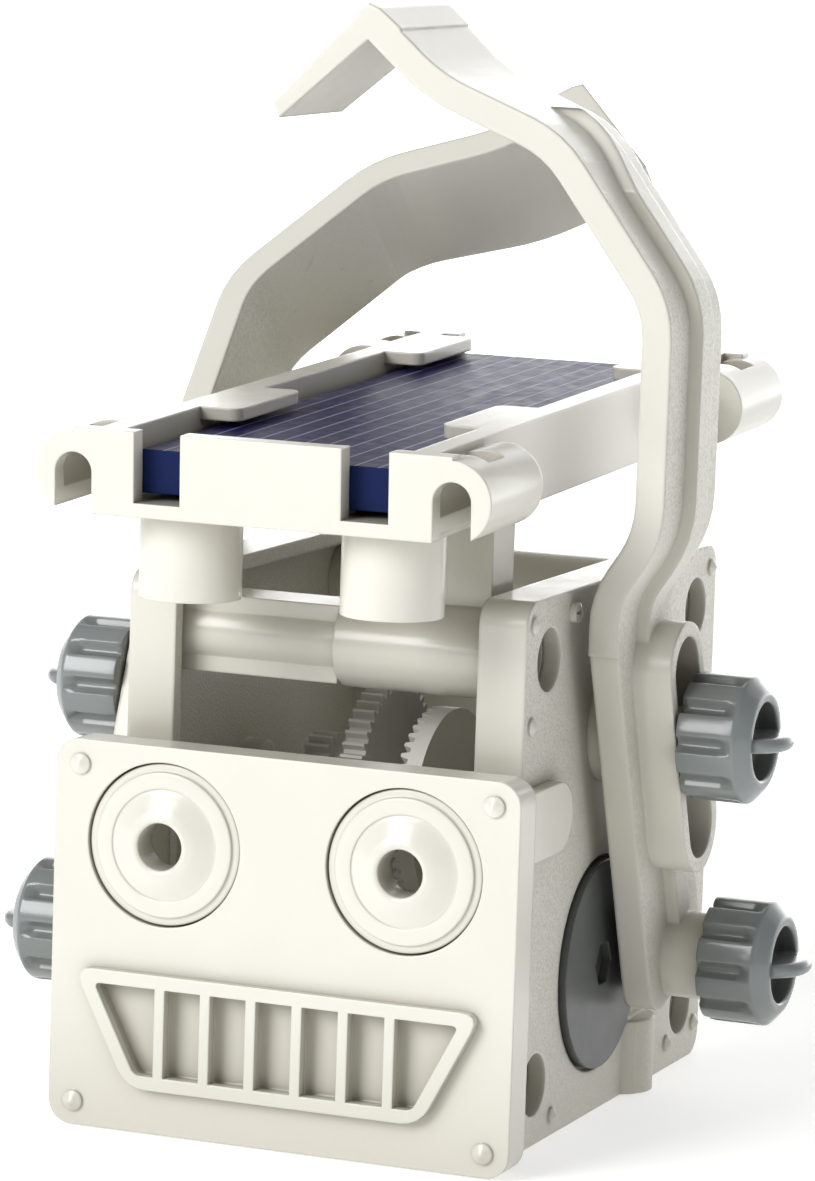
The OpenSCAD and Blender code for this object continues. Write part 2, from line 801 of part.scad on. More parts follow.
// Fixed pin an arm hangs on: a flange against the shell and a round shank through the slot.
module pivot_pin() {
    color(ivory) translate([0, 0, pivot_z]) {
        x_cylinder(shell_outer, blade_in - face_gap, flange_r);
        x_cylinder(shell_outer, pin_end, pin_r);
    }
}

module left_pivot_pin() {
    placed() mirror([1, 0, 0]) pivot_pin();
}

module right_pivot_pin() {
    placed() pivot_pin();
}

// A line of points with each corner cut back by up to `back` and rounded.
function cut_back(line, i, back) =
    min(back, norm(line[i] - line[i - 1]) * 0.45, norm(line[i + 1] - line[i]) * 0.45);
function rounded(line, back) = concat([line[0]], [for (i = [1:len(line) - 2], t = [0:1 / corner_steps:1])
        let (b = cut_back(line, i, back), a = line[i] + b * unit(line[i - 1] - line[i]),
            c = line[i] + b * unit(line[i + 1] - line[i]))
        (1 - t) * (1 - t) * a + 2 * t * (1 - t) * line[i] + t * t * c],
    [line[len(line) - 1]]);

// A closed loop of points with each corner rounded in the same way.
function rounded_loop(loop, back) = let (
        last = len(loop) - 1,
        open = concat([loop[last]], loop, [loop[0]]),
        line = rounded(open, back))
    [for (i = [1:len(line) - 2]) line[i]];

// Outline of a strip of the given thickness about a line of points.
function unit(v) = v / norm(v);
function left_of(v) = [-v[1], v[0]];
function offset_point(line, i, d) = let (
        last = len(line) - 1,
        before = i == 0 ? unit(line[1] - line[0]) : unit(line[i] - line[i - 1]),
        after = i == last ? before : unit(line[i + 1] - line[i]),
        across = unit(left_of(before) + left_of(after)))
    line[i] + across * d / (across * left_of(after));
function strip(line, low, high) = concat([for (i = [0:len(line) - 1]) offset_point(line, i, low)],
    [for (i = [len(line) - 1:-1:0]) offset_point(line, i, high)]);

// Extrudes a drawing of sideways place against arm length across the arm, from w0 to w1.
module across_arm(w0, w1) {
    translate([blade_in + arm_thickness / 2, w1, 0]) rotate([90, 0, 0]) linear_extrude(w1 - w0) children();
}

// The upper arm as seen from the side: straight, then widening at the back towards its top.
module upper_arm_side() {
    polygon([[upper_front, upper_foot], [upper_rear, upper_foot], [upper_rear, widen_from],
        [upper_top_rear, widen_to], [upper_front, widen_to]]);
}

// The rib as seen from the side, running to a point at its top.
module rib_side() {
    polygon([[rib_low, upper_foot], [rib_high, upper_foot], [rib_high, rib_tip_s],
        [rib_low, rib_taper_from]]);
}

// Upper arm in the bent direction, with the rib along its outer face.
module upper_arm() {
    half = arm_thickness / 2;
    translate([0, 0, bend_s]) rotate([-arm_bend, 0, 0]) {
        intersection() {
            across_arm(upper_front, upper_top_rear) union() {
                polygon(strip(upper_line, -half, half));
                polygon(hook_line);
            }
            extrude_x(-body_width, body_width) upper_arm_side();
        }
        intersection() {
            across_arm(rib_low, rib_high) polygon(strip(rib_line, -half - rib_height, cut - half));
            extrude_x(-body_width, body_width) rib_side();
        }
    }
}

// The slotted blade, seen from the side, with rounded lower corners.
module blade_outline() {
    translate([-arm_half_width, -arm_foot])
        round_rectangle([2 * arm_half_width, arm_foot + bend_s + 1], blade_corner_r);
}

// A rounded slot of the given half width about the pin's travel.
module slot_outline(half) {
    for (s = [slot_low, slot_high])
        translate([0, s]) circle(r = half, $fn = 48);
    translate([-half, slot_low]) square([2 * half, slot_high - slot_low]);
}

// One arm with the pivot at the origin and its blade upright.
module arm_upright() {
    difference() {
        union() {
            extrude_x(blade_in, blade_out) blade_outline();
            extrude_x(blade_in, ring_out) slot_outline(slot_half_width + ring_wall);
            extrude_x(blade_in, blade_out + rib_height)
                translate([rib_low, -pin_distance]) square([rib_high - rib_low, pin_distance + bend_s]);
            translate([0, 0, -pin_distance]) x_cylinder(blade_in, ring_out, boss_r);
            upper_arm();
        }
        extrude_x(blade_in - cut, ring_out + cut) slot_outline(slot_half_width);
        translate([0, 0, -pin_distance]) x_cylinder(blade_in - cut, ring_out + cut, pin_r + run_gap);
    }
}

module arm(lean) {
    translate([0, 0, pivot_z]) rotate([lean, 0, 0]) arm_upright();
}

module left_arm() {
    color(ivory) placed() mirror([1, 0, 0]) arm(-arm_lean);
}

module right_arm() {
    color(ivory) placed() arm(arm_lean);
}

// Pin through an arm's lower end, with a collar towards the crank disc.
module crank_pin(y) {
    color(dark_grey) translate([0, y, axle_height]) {
        x_cylinder(disc_out + pin_clear, blade_in - face_gap, pin_collar_r);
        x_cylinder(disc_out + pin_clear, pin_end, pin_r);
    }
}

module left_crank_pin() {
    placed() mirror([1, 0, 0]) crank_pin(-crank_r);
}

module right_crank_pin() {
    placed() crank_pin(crank_r);
}

// Knob on the X axis: fluted grip, hollow end and a thumb tab across it.
module knob() {
    flute_r = 1.5;
    flute_out = 0.7;
    chamfer = 1.8;
    recess_r = 4.8;
    tab_base = knob_out - 3;
    tab_r = 6.4;
    tab_half = 0.9;
    color(grey) {
        difference() {
            union() {
                x_cylinder(knob_in, knob_out - chamfer, knob_r, 64);
                translate([knob_out - chamfer, 0, 0]) rotate([0, 90, 0])
                    cylinder(h = chamfer, r1 = knob_r, r2 = knob_r - chamfer, $fn = 64);
            }
            for (i = [0:knob_grips - 1])
                rotate([(i + 0.5) * 360 / knob_grips, 0, 0]) translate([0, 0, knob_r + flute_out])
                    x_cylinder(knob_in - cut, knob_out - chamfer, flute_r, 24);
            x_cylinder(tab_base, knob_out + cut, recess_r, 48);
            x_cylinder(knob_in - cut, pin_end + face_gap, pin_r + run_gap, 48);
        }
        intersection() {
            box([tab_base - eps, -recess_r - eps, -tab_half], [tab_base + tab_r, recess_r + eps, tab_half]);
            translate([tab_base, 0, -2 * tab_half]) cylinder(h = 4 * tab_half, r = tab_r, $fn = 64);
        }
    }
}

module right_upper_knob() {
    placed() translate([0, 0, pivot_z]) knob();
}

module left_upper_knob() {
    mirror([1, 0, 0]) right_upper_knob();
}

module right_lower_knob() {
    placed() translate([0, crank_r, axle_height]) knob();
}

module left_lower_knob() {
    placed() translate([0, -crank_r, axle_height]) mirror([1, 0, 0]) knob();
}

left_side_shell();
right_side_shell();
back_plate();
cross_tubes();
shell_screws();
face_plate();
mouth_grille();
left_eye();
right_eye();
panel_bracket();
rear_panel_bracket();
panel_frame();
solar_panel();
motor_cradle();
motor_can();
motor_pinion();
crown_gear();
crown_shaft();
spur_gear();
spur_shaft();
output_gear();
drive_axle();
left_crank_disc();
right_crank_disc();
left_pivot_pin();
right_pivot_pin();
left_arm();
right_arm();
left_crank_pin();
right_crank_pin();
left_upper_knob();
right_upper_knob();
left_lower_knob();
right_lower_knob();
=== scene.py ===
"""Looks of the solar robot kit: materials, finely made pieces, lights and camera around the CAD model."""

import json
import math

import bmesh
import bpy
from mathutils import Matrix, Vector


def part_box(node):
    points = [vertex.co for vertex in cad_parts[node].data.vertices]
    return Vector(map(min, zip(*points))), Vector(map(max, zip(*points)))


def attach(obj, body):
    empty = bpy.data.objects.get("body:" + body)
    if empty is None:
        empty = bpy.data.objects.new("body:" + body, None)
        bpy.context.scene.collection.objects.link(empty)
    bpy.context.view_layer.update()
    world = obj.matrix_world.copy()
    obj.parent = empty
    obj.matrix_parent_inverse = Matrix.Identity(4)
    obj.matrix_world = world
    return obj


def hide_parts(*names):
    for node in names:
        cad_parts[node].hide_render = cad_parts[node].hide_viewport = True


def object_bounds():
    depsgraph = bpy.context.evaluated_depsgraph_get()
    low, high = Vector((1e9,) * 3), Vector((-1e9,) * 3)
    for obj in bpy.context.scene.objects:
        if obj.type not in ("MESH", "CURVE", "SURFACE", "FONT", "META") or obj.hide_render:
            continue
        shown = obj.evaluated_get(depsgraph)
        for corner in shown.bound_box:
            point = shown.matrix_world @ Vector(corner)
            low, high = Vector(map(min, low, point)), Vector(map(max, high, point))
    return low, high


MM = 0.001
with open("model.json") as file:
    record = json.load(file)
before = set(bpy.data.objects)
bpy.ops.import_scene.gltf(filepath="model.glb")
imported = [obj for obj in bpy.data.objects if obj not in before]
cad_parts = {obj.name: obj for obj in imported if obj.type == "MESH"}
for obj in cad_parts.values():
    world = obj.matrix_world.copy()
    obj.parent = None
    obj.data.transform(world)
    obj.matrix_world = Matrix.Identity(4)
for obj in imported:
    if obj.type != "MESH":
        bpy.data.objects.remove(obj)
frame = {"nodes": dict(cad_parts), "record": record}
cad_low, cad_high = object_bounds()
node_body = {node: body for body, nodes in frame["record"]["behaviour"]["bodies"].items() for node in nodes}


# ---------------------------------------------------------------- named values

# The photograph's view: a long lens from the front right, a little above the panel
CAMERA_PLACE = (0.2519, -0.6259, 0.1577)
CAMERA_AZIMUTH = 22.233
CAMERA_ELEVATION = 8.002
CAMERA_ROLL = 1.883
CAMERA_LENS = 163.74

# Eyes, in millimetres
PUPIL_R = 2.9
EYE_RISE = 1.5
EYE_GROOVE = 0.4
EYE_SEGMENTS = 128

# Knobs, in millimetres but for the counts
KNOB_GRIPS = 10
KNOB_GRIP_STEPS = 16
KNOB_LENGTH = 9.2
KNOB_RECESS_R = 4.8
KNOB_RECESS_DEPTH = 3.0
KNOB_CHAMFER = 1.9
KNOB_END_CURVE = 1.1
KNOB_CURVE_STEPS = 5
FLUTE_DEPTH = 0.85
LOBE_DIP = 0.25
TAB_REACH = 6.35
TAB_HALF = 0.9
TAB_FOOT = 0.3
TAB_GRIP = 0.15
TAB_RIM_STEPS = 12
TAB_ARC_STEPS = 24

# Plastics, in metres
# How far the painted shade looks for nearby surfaces when it darkens corners and crevices
PAINTED_SHADE_REACH = 28.0 * MM
GRAIN_DEPTH = 0.12 * MM

# Solar cells: their lines in metres, and their colours
CELL_PITCH = 3.05 * MM
CELL_LINE = 0.24 * MM
CELL_BLUE = (0.008, 0.008, 0.06)
CELL_PURPLE = (0.014, 0.012, 0.085)
CELL_PALE = (0.3, 0.28, 0.5)

# Backdrop, in metres, and its glow
FLOOR_HALF = 3.0
FLOOR_CURVE = 1.0
FLOOR_CURVE_STEPS = 12
FLOOR_GLOW = 0.5

# Lights: the world's strength and the lamps' watts
WORLD_STRENGTH = 0.24
KEY_POWER = 13.0
SIDE_POWER = 0.8
BACKDROP_POWER = 45.0


# ---------------------------------------------------------------- shader helpers

def add_node(tree, kind, **settings):
    """A shader node with its attributes set."""
    made = tree.nodes.new(kind)
    for name, value in settings.items():
        setattr(made, name, value)
    return made


def feed(tree, socket, value):
    """Sets a socket to a number or colour, or links another node's output to it."""
    if isinstance(value, bpy.types.NodeSocket):
        tree.links.new(value, socket)
    elif isinstance(value, tuple) and len(value) == 3:
        socket.default_value = (*value, 1.0)
    else:
        socket.default_value = value


def maths(tree, operation, first, second=None):
    """The output of a Math node."""
    made = add_node(tree, "ShaderNodeMath", operation=operation)
    feed(tree, made.inputs[0], first)
    if second is not None:
        feed(tree, made.inputs[1], second)
    return made.outputs[0]


def remap(tree, value, low, high, to_low, to_high):
    """value mapped from one range to another, clamped."""
    made = add_node(tree, "ShaderNodeMapRange")
    for socket, number in zip(made.inputs[1:5], (low, high, to_low, to_high)):
        socket.default_value = number
    feed(tree, made.inputs[0], value)
    return made.outputs[0]


def blend_colours(tree, amount, first, second):
    """Colour mixed from first to second by amount."""
    made = add_node(tree, "ShaderNodeMix", data_type="RGBA")
    feed(tree, made.inputs[0], amount)
    feed(tree, made.inputs[6], first)
    feed(tree, made.inputs[7], second)
    return made.outputs[2]


def noise(tree, place, scale, detail=3.0):
    """A noise pattern with the given number of features per metre."""
    made = add_node(tree, "ShaderNodeTexNoise")
    tree.links.new(place, made.inputs["Vector"])
    made.inputs["Scale"].default_value = scale
    made.inputs["Detail"].default_value = detail
    return made.outputs["Fac"]


def new_material(name):
    """An empty node material with its shader, its tree and its object-space coordinates."""
    material = bpy.data.materials.new(name)
    material.use_nodes = True
    tree = material.node_tree
    shader = tree.nodes["Principled BSDF"]
    place = add_node(tree, "ShaderNodeTexCoord")
    return material, tree, shader, place


def rounded_normal(tree, width):
    """Surface directions with every edge rounded to the given radius."""
    rounded = add_node(tree, "ShaderNodeBevel", samples=8)
    rounded.inputs["Radius"].default_value = width
    return rounded.outputs[0]


def edge_mask(tree, rounded):
    """1 along edges and 0 on flat parts, from how far the rounded direction turns away from the true one."""
    true = add_node(tree, "ShaderNodeNewGeometry")
    product = add_node(tree, "ShaderNodeVectorMath", operation="DOT_PRODUCT")
    tree.links.new(rounded, product.inputs[0])
    tree.links.new(true.outputs["Normal"], product.inputs[1])
    return remap(tree, product.outputs["Value"], 0.995, 0.85, 0.0, 1.0)


def painted_shade_mask(tree, reach):
    """Painted shade: 1 in narrow places, where corners and crevices would lie in shade, and 0 in the open."""
    open_sky = add_node(tree, "ShaderNodeAmbientOcclusion", samples=16)
    open_sky.inputs["Distance"].default_value = reach
    return remap(tree, open_sky.outputs["AO"], 0.25, 0.9, 1.0, 0.0)


def side_mask(tree, place):
    """1 on faces that look along X, such as the shells' sides, and 0 on the rest."""
    parts = add_node(tree, "ShaderNodeSeparateXYZ")
    tree.links.new(place.outputs["Normal"], parts.inputs[0])
    return remap(tree, maths(tree, "ABSOLUTE", parts.outputs[0]), 0.75, 0.95, 0.0, 1.0)


def plastic(name, colour, shade, roughness, grain, edge,
            depth=0.4, coat=0.0, grained_sides=0.0, painted_shade_side_colour=None):
    """Moulded plastic: mottled colour, uneven gloss, fine grain, rounded paler edges and shaded corners.

    grain is the bump strength, edge the radius of the edges in millimetres and depth how far the painted
    shade darkens crevices and corners. Faces that look along X can have extra grain and a darker painted
    shade colour, as if turned away from the light. The noise filter treats roughness under and over 0.27
    apart, so roughness keeps each plastic's smudges on one side of that.
    """
    material, tree, shader, place = new_material(name)
    spot = place.outputs["Object"]
    fine = noise(tree, spot, 3000.0, 2.0)
    smudge = noise(tree, spot, 260.0, 4.0)
    rounded = rounded_normal(tree, edge * MM)
    edges = edge_mask(tree, rounded)
    body = blend_colours(tree, remap(tree, noise(tree, spot, 90.0), 0.3, 0.7, 0.0, 1.0), colour, shade)
    rough = remap(tree, smudge, 0.3, 0.7, roughness * 0.85, roughness * 1.12)
    strength = grain
    # Painted shade: faces that look along X take a darker colour, as if turned away from the light
    if painted_shade_side_colour:
        body = blend_colours(tree, side_mask(tree, place), body, painted_shade_side_colour)
    if grained_sides:
        sides = side_mask(tree, place)
        speckle = maths(tree, "MULTIPLY", sides, remap(tree, fine, 0.42, 0.62, 0.0, 1.0))
        body = blend_colours(tree, speckle, body, tuple(part * 0.8 for part in colour))
        rough = maths(tree, "ADD", rough, maths(tree, "MULTIPLY", sides, 0.25))
        strength = maths(tree, "ADD", maths(tree, "MULTIPLY", sides, grained_sides), grain)
    light = tuple(min(1.0, part * 1.1 + 0.02) for part in colour)
    body = blend_colours(tree, maths(tree, "MULTIPLY", edges, 0.3), body, light)
    # Painted shade: corners and crevices darken towards a deeper, warmer ivory, standing in for occlusion
    painted_shade_colour = tuple(part * (1 - depth) * warm for part, warm in zip(colour, (1.0, 0.97, 0.92)))
    painted_shade = painted_shade_mask(tree, PAINTED_SHADE_REACH)
    feed(tree, shader.inputs["Base Color"], blend_colours(tree, painted_shade, body, painted_shade_colour))
    polish = maths(tree, "MULTIPLY", edges, 0.06)
    feed(tree, shader.inputs["Roughness"], maths(tree, "SUBTRACT", rough, polish))
    bump = add_node(tree, "ShaderNodeBump")
    bump.inputs["Distance"].default_value = GRAIN_DEPTH
    feed(tree, bump.inputs["Strength"], strength)
    tree.links.new(fine, bump.inputs["Height"])
    tree.links.new(rounded, bump.inputs["Normal"])
    tree.links.new(bump.outputs[0], shader.inputs["Normal"])
    shader.inputs["IOR"].default_value = 1.5
    if coat:
        shader.inputs["Coat Weight"].default_value = coat
        shader.inputs["Coat Roughness"].default_value = 0.12
        tree.links.new(rounded, shader.inputs["Coat Normal"])
    return material


def metal(name, colour, roughness):
    """Turned steel with fine scratches and duller patches."""
    material, tree, shader, place = new_material(name)
    spot = place.outputs["Object"]
    scratches = noise(tree, spot, 4200.0, 2.0)
    tarnish = noise(tree, spot, 180.0)
    dull = tuple(part * 0.82 for part in colour)
    tarnished = remap(tree, tarnish, 0.35, 0.65, 0.0, 1.0)
    feed(tree, shader.inputs["Base Color"], blend_colours(tree, tarnished, colour, dull))
    feed(tree, shader.inputs["Roughness"], remap(tree, scratches, 0.3, 0.7, roughness * 0.7, roughness * 1.4))
    shader.inputs["Metallic"].default_value = 1.0
    bump = add_node(tree, "ShaderNodeBump")
    bump.inputs["Distance"].default_value = 0.02 * MM
    bump.inputs["Strength"].default_value = 0.4
    tree.links.new(scratches, bump.inputs["Height"])
    tree.links.new(bump.outputs[0], shader.inputs["Normal"])
    return material


def line_mask(tree, along, pitch, width, offset=0.0):
    """1 on lines of the given width that repeat at a pitch along a coordinate."""
    shifted = maths(tree, "ADD", along, 1000 * pitch + offset)
    phase = maths(tree, "MODULO", shifted, pitch)
    distance = maths(tree, "ABSOLUTE", maths(tree, "SUBTRACT", phase, pitch / 2))
    return remap(tree, distance, width / 2, width / 2 + 0.08 * MM, 1.0, 0.0)


def solar_cells(name):
    """Deep blue cells with pale conductor lines along the panel and little shine."""
    material, tree, shader, place = new_material(name)
    parts = add_node(tree, "ShaderNodeSeparateXYZ")
    tree.links.new(place.outputs["Object"], parts.inputs[0])
    facing = add_node(tree, "ShaderNodeSeparateXYZ")
    tree.links.new(place.outputs["Normal"], facing.inputs[0])
    top = remap(tree, facing.outputs[2], 0.6, 0.8, 0.0, 1.0)
    lines = maths(tree, "MULTIPLY", line_mask(tree, parts.outputs[0], CELL_PITCH, CELL_LINE), top)
    crystal = noise(tree, place.outputs["Object"], 500.0, 4.0)
    cloud = noise(tree, place.outputs["Object"], 35.0, 2.0)
    blue = blend_colours(tree, remap(tree, crystal, 0.35, 0.65, 0.0, 1.0), CELL_BLUE, CELL_PURPLE)
    blue = blend_colours(tree, remap(tree, cloud, 0.35, 0.7, 0.0, 0.4), blue, (0.02, 0.017, 0.07))
    front = remap(tree, facing.outputs[1], -0.6, -0.8, 0.0, 1.0)
    blue = blend_colours(tree, front, blue, (0.012, 0.022, 0.09))
    drawn = maths(tree, "MULTIPLY", lines, 0.8)
    feed(tree, shader.inputs["Base Color"], blend_colours(tree, drawn, blue, CELL_PALE))
    feed(tree, shader.inputs["Roughness"], remap(tree, crystal, 0.3, 0.7, 0.3, 0.42))
    shader.inputs["Specular IOR Level"].default_value = 0.05
    bump = add_node(tree, "ShaderNodeBump")
    bump.inputs["Distance"].default_value = 0.03 * MM
    bump.inputs["Strength"].default_value = 0.35
    tree.links.new(lines, bump.inputs["Height"])
    tree.links.new(rounded_normal(tree, 0.3 * MM), bump.inputs["Normal"])
    tree.links.new(bump.outputs[0], shader.inputs["Normal"])
    return material


# ---------------------------------------------------------------- mesh helpers

def new_piece(name, mesh, material, body, *nodes, slot):
    """An object from a bmesh, riding on a body and standing for CAD nodes."""
    data = bpy.data.meshes.new(name)
    mesh.to_mesh(data)
    mesh.free()
    piece = bpy.data.objects.new(name, data)
    bpy.context.collection.objects.link(piece)
    data.materials.append(material)
    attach(piece, body)
    if nodes:
        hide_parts(*nodes)
    return piece


def skin(mesh, rings, closed_ends=True):
    """Joins rings of points, each a closed loop with the same count, into one surface."""
    loops = [[mesh.verts.new(point) for point in ring] for ring in rings]
    count = len(loops[0])
    for before, after in zip(loops, loops[1:]):
        for i in range(count):
            mesh.faces.new((before[i], before[(i + 1) % count], after[(i + 1) % count], after[i]))
    if closed_ends:
        mesh.faces.new(reversed(loops[0]))
        mesh.faces.new(loops[-1])
    return loops


def smooth_by_angle(piece, degrees=35.0):
    """Smooth shading that keeps edges sharper than the given angle."""
    piece.data.shade_smooth()
    mesh = bmesh.new()
    mesh.from_mesh(piece.data)
    for edge in mesh.edges:
        if len(edge.link_faces) == 2 and edge.calc_face_angle() > math.radians(degrees):
            edge.smooth = False
    mesh.to_mesh(piece.data)
    mesh.free()


def finish_node(node, material):
    """Gives a CAD node its material."""
    piece = frame["nodes"][node]
    for slot in piece.material_slots:
        slot.link = "OBJECT"
        slot.material = material


# ---------------------------------------------------------------- finely made pieces

def middle(node):
    """The centre of a CAD node's box."""
    low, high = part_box(node)
    return (Vector(low) + Vector(high)) / 2


def turned(profile, count, place):
    """Rings of points for a profile of (radius, depth) pairs turned round an axis, placed by a function."""
    rings = []
    for radius, depth in profile:
        ring = []
        for i in range(count):
            angle = math.tau * i / count
            ring.append(place(radius * math.cos(angle), radius * math.sin(angle), depth))
        rings.append(ring)
    return rings


def softened(profile, radius, steps=3):
    """A closed profile with each corner replaced by a small curve."""
    points = [Vector(point) for point in profile]
    soft = []
    for i, corner in enumerate(points):
        before = points[i - 1] - corner
        after = points[(i + 1) % len(points)] - corner
        reach = min(radius, before.length * 0.4, after.length * 0.4)
        start = corner + before.normalized() * reach
        end = corner + after.normalized() * reach
        for step in range(steps + 1):
            t = step / steps
            soft.append((1 - t) ** 2 * start + 2 * t * (1 - t) * corner + t ** 2 * end)
    return [tuple(point) for point in soft]


def eye(side):
    """An eye turned from one profile: groove, flat ring and dome around the pupil hole."""
    low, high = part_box(f"{side}_eye")
    centre = middle(f"{side}_eye")
    radius = (high[0] - low[0]) / 2
    depth = high[1] - low[1]
    face = depth - EYE_RISE * MM
    floor = face - EYE_GROOVE * MM
    hole = PUPIL_R * MM
    outline = [(hole, 0.0), (radius, 0.0), (radius, floor), (radius - 0.95 * MM, floor),
               (radius - 1.0 * MM, face), (0.7 * radius, face + 0.05 * MM), (0.69 * radius, face - 0.15 * MM),
               (0.6 * radius, face + 0.35 * MM), (hole + 1.5 * MM, depth - 0.35 * MM),
               (hole + 0.5 * MM, depth - 0.02 * MM), (hole, depth - 0.25 * MM)]
    mesh = bmesh.new()
    rings = turned(softened(outline, 0.15 * MM), EYE_SEGMENTS,
                   lambda across, up, out: (centre.x + across, high[1] - out, centre.z + up))
    skin(mesh, rings + [rings[0]], closed_ends=False)
    bmesh.ops.remove_doubles(mesh, verts=mesh.verts, dist=0.001 * MM)
    bmesh.ops.recalc_face_normals(mesh, faces=mesh.faces)
    piece = new_piece(f"{side}_eye_shape", mesh, smooth_ivory, "body", f"{side}_eye", slot="ivory_plastic")
    smooth_by_angle(piece, 40.0)


def knob_radius(angle, along, outer):
    """A knob's radius in metres at an angle and at a part of its length, 0 at the arm and 1 at its end."""
    phase = abs((angle * KNOB_GRIPS / math.tau + 0.5) % 1.0 - 0.5) * 2
    flute = max(0.0, 1 - (phase / 0.42) ** 2) ** 0.8
    lobe = max(0.0, math.cos(phase * math.pi))
    fade = min(1.0, max(0.0, (0.8 - along) / 0.1))
    return outer - (FLUTE_DEPTH * flute + LOBE_DIP * lobe) * fade * MM


def knob_rings(outer):
    """Rings of (sideways, upwards, outwards) points: the fluted grip, then the round end and its hollow."""
    length = KNOB_LENGTH * MM
    recess = KNOB_RECESS_R * MM
    floor = length - KNOB_RECESS_DEPTH * MM
    count = KNOB_GRIPS * KNOB_GRIP_STEPS
    angles = [math.tau * (i + 0.5) / count for i in range(count)]
    stations = [(0.0, 0.5), (0.02, 0.1)] + [(0.02 + 0.08 * i, 0.0) for i in range(1, 9)]
    rings = []
    for along, inset in stations:
        radii = [knob_radius(angle, along, outer) - inset * MM for angle in angles]
        rings.append([(r * math.cos(a), r * math.sin(a), along * length) for r, a in zip(radii, angles)])
    end = [(outer, 0.74 * length), (outer, 0.82 * length), (outer - KNOB_CHAMFER * MM, length),
           (recess, length), (recess, floor), (0.4 * MM, floor)]
    curve = KNOB_CURVE_STEPS + 1
    # The first and last corners only give the softened ones their neighbours, so their curves are left off
    for radius, depth in softened(end, KNOB_END_CURVE * MM, KNOB_CURVE_STEPS)[curve:-curve]:
        rings.append([(radius * math.cos(a), radius * math.sin(a), depth) for a in angles])
    return rings


def tab_rings():
    """Rings of the D-shaped thumb tab, across its thickness, with a fully rounded rim."""
    half = TAB_HALF * MM
    half_width = (KNOB_RECESS_R + TAB_GRIP) * MM
    foot = -TAB_FOOT * MM
    rings = []
    for step in range(TAB_RIM_STEPS + 1):
        turn = math.pi * step / TAB_RIM_STEPS
        reach = TAB_REACH * MM - half * (1 - math.sin(turn))
        height = -half * math.cos(turn)
        ring = [(-half_width, height, foot)]
        for i in range(TAB_ARC_STEPS + 1):
            angle = math.pi * i / TAB_ARC_STEPS
            across = max(-half_width, min(half_width, -math.cos(angle) * reach))
            ring.append((across, height, math.sin(angle) * reach))
        ring.append((half_width, height, foot))
        rings.append(ring)
    return rings


def knob(side, level):
    """A fluted knob with a rounded end ring, a hollow end and a thumb tab across it."""
    node = f"{side}_{level}_knob"
    low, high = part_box(node)
    centre = middle(node)
    out = 1 if side == "right" else -1
    start = min(abs(low[0]), abs(high[0]))
    tab_base = start + (KNOB_LENGTH - KNOB_RECESS_DEPTH) * MM
    mesh = bmesh.new()
    for shift, rings in ((start, knob_rings((high[2] - low[2]) / 2)), (tab_base, tab_rings())):
        placed = [[(out * (shift + depth), centre.y + across, centre.z + up) for across, up, depth in ring]
                  for ring in rings]
        skin(mesh, placed)
    bmesh.ops.recalc_face_normals(mesh, faces=mesh.faces)
    piece = new_piece(f"{node}_shape", mesh, knob_plastic, node_body[node], node, slot="grey_plastic")
    smooth_by_angle(piece, 50.0)


# ---------------------------------------------------------------- stage, light and camera

def stage_floor(material):
    """A pale floor that curves up into a back wall, so the photo's view shows no horizon."""
    mesh = bmesh.new()
    bend = FLOOR_HALF * 0.5
    profile = [(-FLOOR_HALF, 0.0), (bend, 0.0)]
    for step in range(1, FLOOR_CURVE_STEPS + 1):
        angle = math.pi / 2 * step / FLOOR_CURVE_STEPS
        profile.append((bend + FLOOR_CURVE * math.sin(angle), FLOOR_CURVE * (1 - math.cos(angle))))
    profile.append((bend + FLOOR_CURVE, FLOOR_HALF))
    rows = [[mesh.verts.new((x, y, z)) for x in (-FLOOR_HALF, FLOOR_HALF)] for y, z in profile]
    for before, after in zip(rows, rows[1:]):
        mesh.faces.new((before[0], before[1], after[1], after[0]))
    data = bpy.data.meshes.new("floor")
    mesh.to_mesh(data)
    mesh.free()
    floor = bpy.data.objects.new("floor", data)
    bpy.context.collection.objects.link(floor)
    data.materials.append(material)
    data.shade_smooth()


def floor_material():
    """Pale matt backdrop paper."""
    material, tree, shader, place = new_material("backdrop")
    cloud = noise(tree, place.outputs["Object"], 3.0, 2.0)
    paper = blend_colours(tree, cloud, (0.86, 0.86, 0.86), (0.88, 0.88, 0.88))
    feed(tree, shader.inputs["Base Color"], paper)
    feed(tree, shader.inputs["Roughness"], remap(tree, cloud, 0.3, 0.7, 0.8, 0.9))
    shader.inputs["Emission Color"].default_value = (1.0, 1.0, 1.0, 1.0)
    shader.inputs["Emission Strength"].default_value = FLOOR_GLOW
    return material


def soft_light(name, place, target, size, power, spread=180.0):
    """A rectangular area lamp that looks at a point and lights a cone of the given angle."""
    lamp = bpy.data.lights.new(name, "AREA")
    lamp.shape = "RECTANGLE"
    lamp.size, lamp.size_y = size
    lamp.energy = power
    lamp.spread = math.radians(spread)
    light = bpy.data.objects.new(name, lamp)
    light.location = place
    light.rotation_euler = (Vector(target) - Vector(place)).to_track_quat("-Z", "Y").to_euler()
    bpy.context.collection.objects.link(light)


def world_light(strength):
    """Even white light from all round."""
    world = bpy.data.worlds.new("studio")
    world.use_nodes = True
    back = world.node_tree.nodes["Background"]
    back.inputs["Color"].default_value = (1.0, 1.0, 1.0, 1.0)
    back.inputs["Strength"].default_value = strength
    bpy.context.scene.world = world


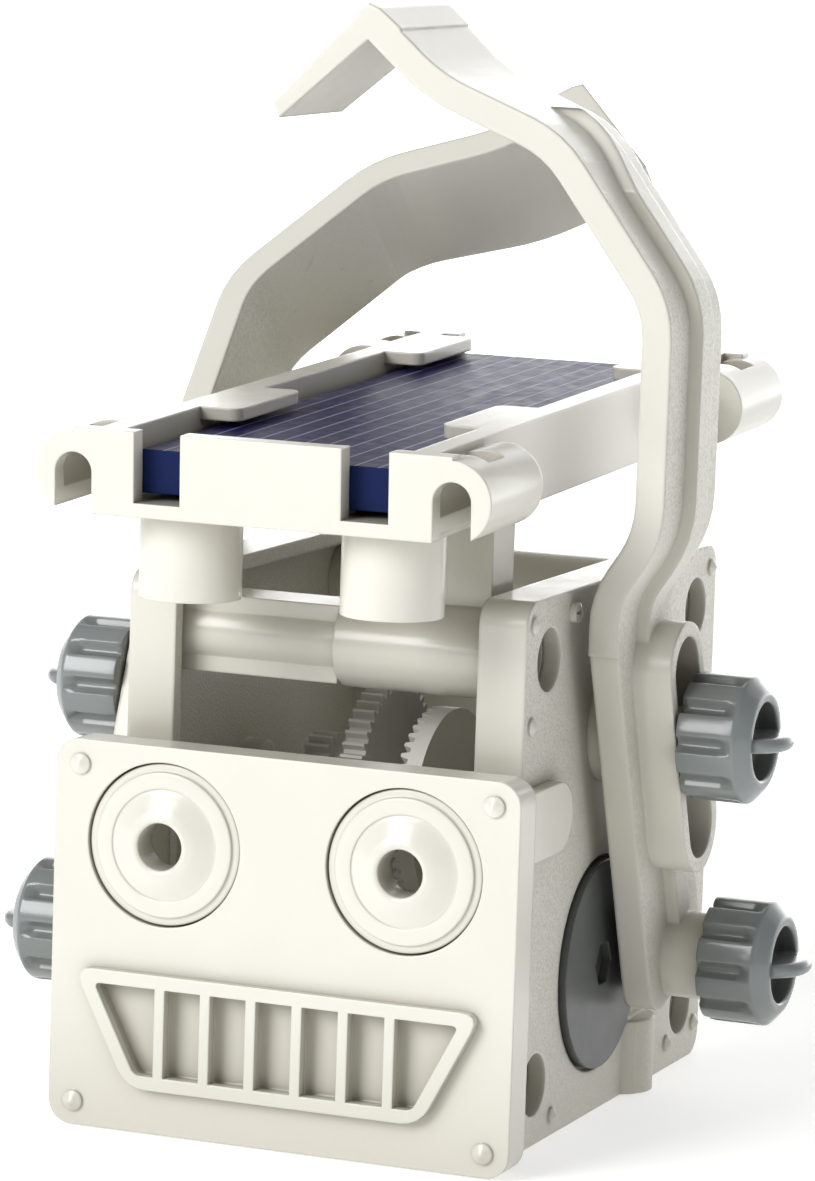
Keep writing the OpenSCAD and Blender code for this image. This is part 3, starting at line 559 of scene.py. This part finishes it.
def add_camera():
    """A long lens from the front right, a little above the panel."""
    lens = bpy.data.cameras.new("camera")
    lens.sensor_fit = "VERTICAL"
    lens.sensor_height = 36.0
    lens.lens = CAMERA_LENS
    lens.clip_start = 0.01
    lens.clip_end = 20.0
    camera = bpy.data.objects.new("camera", lens)
    turn = Matrix.Rotation(math.radians(CAMERA_AZIMUTH), 4, "Z")
    tilt = Matrix.Rotation(math.radians(90.0 - CAMERA_ELEVATION), 4, "X")
    roll = Matrix.Rotation(math.radians(CAMERA_ROLL), 4, "Z")
    camera.matrix_world = Matrix.Translation(Vector(CAMERA_PLACE)) @ turn @ tilt @ roll
    bpy.context.collection.objects.link(camera)
    bpy.context.scene.camera = camera


# ---------------------------------------------------------------- the whole kit

ivory_pale = (0.83, 0.815, 0.735)
ivory_shade = (0.81, 0.795, 0.71)
smooth_ivory = plastic("smooth ivory plastic", ivory_pale, ivory_shade, 0.24, 0.03, edge=0.4, coat=0.15)
grained_ivory = plastic("grained ivory plastic", ivory_pale, ivory_shade, 0.24, 0.05, edge=0.7,
                        grained_sides=0.7)
knob_plastic = plastic("grey knob plastic", (0.26, 0.285, 0.285), (0.235, 0.26, 0.26), 0.22, 0.05, edge=0.3,
                       coat=0.3)
dark_plastic = plastic("dark grey plastic", (0.12, 0.13, 0.13), (0.105, 0.115, 0.115), 0.33, 0.12, edge=0.4)
# The gears' faces that look along X carry a dark grey painted shade, as if in shadow, while the teeth stay
# pale; depth gives them lighter painted shade in crevices
gear_plastic = plastic("gear plastic", (0.86, 0.86, 0.84), (0.82, 0.82, 0.8), 0.4, 0.1, edge=0.1, depth=0.2,
                       painted_shade_side_colour=(0.13, 0.125, 0.12))
steel = metal("turned steel", (0.6, 0.6, 0.61), 0.3)
cells = solar_cells("solar cells")

slot_materials = {"ivory_plastic": smooth_ivory, "solar_cells": cells, "white_gear_plastic": gear_plastic,
                  "steel": steel, "dark_plastic": dark_plastic, "grey_plastic": knob_plastic}
grained_nodes = [f"{side}_{part}" for side in ("left", "right")
                 for part in ("side_shell", "arm", "pivot_pin")]
for part in frame["record"]["subparts"]:
    grained = part["node"] in grained_nodes
    finish_node(part["node"], grained_ivory if grained else slot_materials[part["material_slot"]])

for side in ("left", "right"):
    eye(side)
    for level in ("upper", "lower"):
        knob(side, level)

stage_floor(floor_material())
world_light(WORLD_STRENGTH)
focus = ((cad_low[0] + cad_high[0]) / 2, (cad_low[1] + cad_high[1]) / 2, cad_high[2] / 2)
soft_light("key", (-0.6, -1.1, 0.7), focus, (0.7, 0.7), KEY_POWER)
soft_light("side", (1.3, -0.3, 0.9), focus, (0.35, 1.0), SIDE_POWER)
soft_light("backdrop", (0.0, 1.3, 1.6), (0.0, 2.1, 0.0), (2.4, 1.0), BACKDROP_POWER, spread=110.0)
bpy.context.scene.view_settings.view_transform = "Standard"
add_camera()
